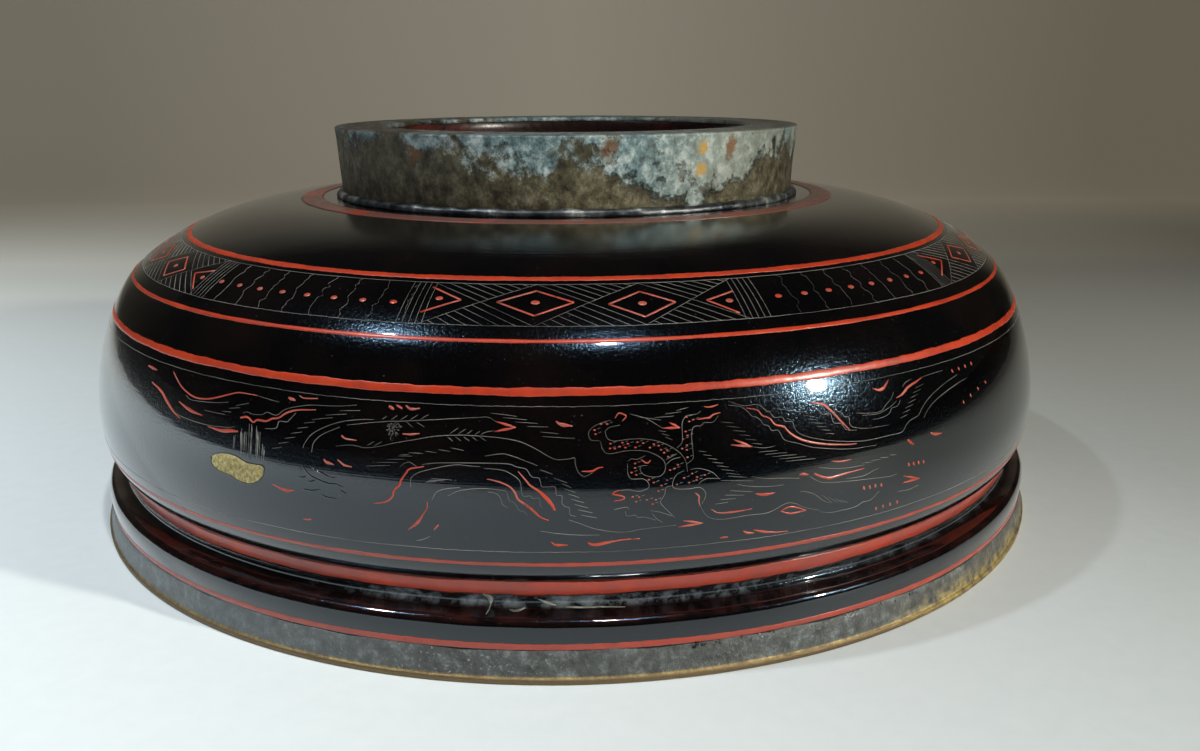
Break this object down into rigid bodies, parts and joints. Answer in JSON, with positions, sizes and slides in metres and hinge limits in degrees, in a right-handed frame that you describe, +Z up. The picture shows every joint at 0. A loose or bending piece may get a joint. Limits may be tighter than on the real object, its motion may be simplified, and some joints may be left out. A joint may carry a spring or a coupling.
{
  "type": "lacquer bowl",
  "caption": "Black lacquer bowl with red lines, a needle-cut cloud and beast drawing, and metal bands on its lip and ring foot, modelled standing upside down on its mouth.",
  "frame": {"origin": "centre of the mouth plane, on the surface that the lip stands on", "axes": "+Z up along the axis of the bowl, from the mouth to the foot ring; -Y to the pictured front"},
  "size_m": [0.2428, 0.2428, 0.0925],
  "materials": {
    "wood": "turned softwood, bare under the ground",
    "ground": "khaki ash and cloth ground, matt and grainy",
    "black_lacquer": "polished black lacquer with fine scratches and brush streaks",
    "red_lacquer": "vermilion lacquer, softly glossy",
    "brown_lacquer": "dark red-brown lacquer, worn",
    "rim_metal": "grey-patinated gilt bronze with bare gold at the edge",
    "foot_metal": "bronze mottled with verdigris, brown patina and specks of gilding",
    "bedding": "pale silvery bedding paste, rubbed"
  },
  "bodies": {
    "root": {"wood_core": "wood", "foot_core": "wood", "outer_ground": "ground", "inner_ground": "ground", "outer_lacquer": "black_lacquer", "inner_lacquer": "red_lacquer", "base_lacquer": "brown_lacquer", "rim_band": "rim_metal", "foot_band": "foot_metal", "foot_fillet": "bedding"}
  },
  "joints": []
}
